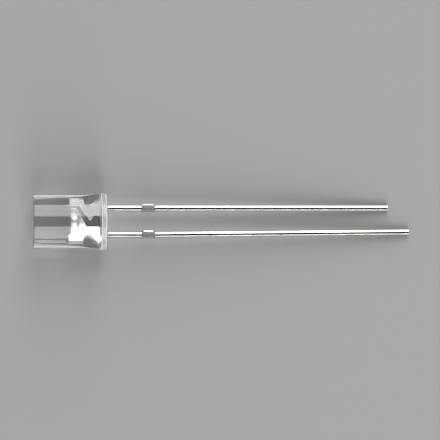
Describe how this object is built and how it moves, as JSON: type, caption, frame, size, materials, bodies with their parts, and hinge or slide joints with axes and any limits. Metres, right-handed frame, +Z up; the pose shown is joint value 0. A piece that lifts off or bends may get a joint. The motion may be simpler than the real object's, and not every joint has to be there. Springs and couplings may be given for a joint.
{
  "type": "through hole led",
  "caption": "Round flat-topped clear LED for through-hole mounting, with reflector cup, chip and bond wire inside and a long and a short straight lead.",
  "frame": {"origin": "centre of the bounding box at ground level; the part lies on its side as it comes to rest, on its rim and on both lead tips", "axes": "+X towards the lead tips, +Y towards the side of the short lead, +Z up"},
  "size_m": [0.0362, 0.0054, 0.0058],
  "materials": {
    "clear_epoxy": "polished clear casting, finely matt on its base",
    "plated_lead": "bright silver plate inside the body, tin-dipped outside",
    "chip": "polished crystal with a gold pad",
    "silver_paste": "matt",
    "gold_wire": "bright drawn"
  },
  "bodies": {
    "root": {"epoxy_body": "clear_epoxy", "anode_lead": "plated_lead", "cathode_lead": "plated_lead", "led_chip": "chip", "die_attach": "silver_paste", "bond_wire": "gold_wire"}
  },
  "joints": []
}
